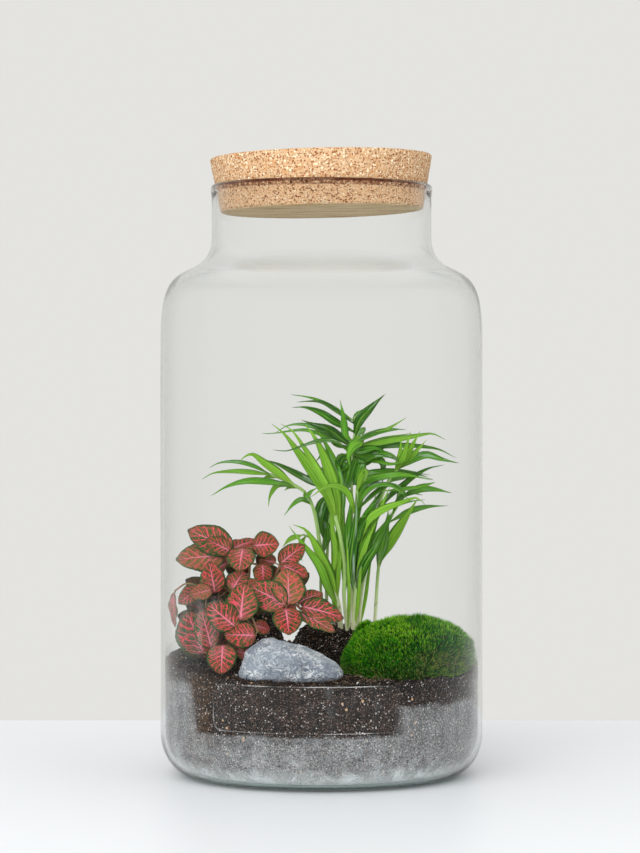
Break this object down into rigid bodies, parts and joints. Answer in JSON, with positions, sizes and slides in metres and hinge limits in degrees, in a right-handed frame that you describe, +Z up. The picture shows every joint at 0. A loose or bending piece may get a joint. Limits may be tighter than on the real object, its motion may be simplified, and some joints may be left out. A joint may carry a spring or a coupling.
{
  "type": "glass plant terrarium",
  "caption": "Wide-necked clear glass jar with a tapered cork stopper, planted with a parlour palm and a red-veined nerve plant, a stone and moss on dark soil.",
  "frame": {"origin": "middle of the jar's foot, on the surface that it stands on", "axes": "+Z up along the jar's axis, -Y towards the front, where the label film is, +X to the right seen from the front"},
  "size_m": [0.18, 0.1806, 0.3461],
  "materials": {
    "clear_glass": "clear blown glass, faintly green where it is thick",
    "cork": "agglomerated cork, matte, fine dark grains",
    "clear_film": "clear adhesive film, bare",
    "potting_soil": "damp dark potting soil with light grains",
    "stone": "dry blue-grey pebble with pale veins",
    "moss": "dense living moss",
    "palm_leaf": "satin leaf, bright green to deep green",
    "fittonia_leaf": "soft matte leaf, olive ground under a net of red veins"
  },
  "bodies": {
    "root": {"jar": "clear_glass", "cork_stopper": "cork", "label_film": "clear_film", "soil": "potting_soil", "stone": "stone", "moss_cushion": "moss", "palm_seedling_back": "palm_leaf", "palm_frond_dark": "palm_leaf", "palm_frond_left": "palm_leaf", "palm_frond_upper_left": "palm_leaf", "palm_frond_tall": "palm_leaf", "palm_frond_front": "palm_leaf", "palm_frond_right": "palm_leaf", "palm_frond_outer_right": "palm_leaf", "fittonia_top_left": "fittonia_leaf", "fittonia_top": "fittonia_leaf", "fittonia_right_top": "fittonia_leaf", "fittonia_centre": "fittonia_leaf", "fittonia_right": "fittonia_leaf", "fittonia_front": "fittonia_leaf", "fittonia_left": "fittonia_leaf", "fittonia_middle": "fittonia_leaf", "fittonia_low": "fittonia_leaf"}
  },
  "joints": []
}
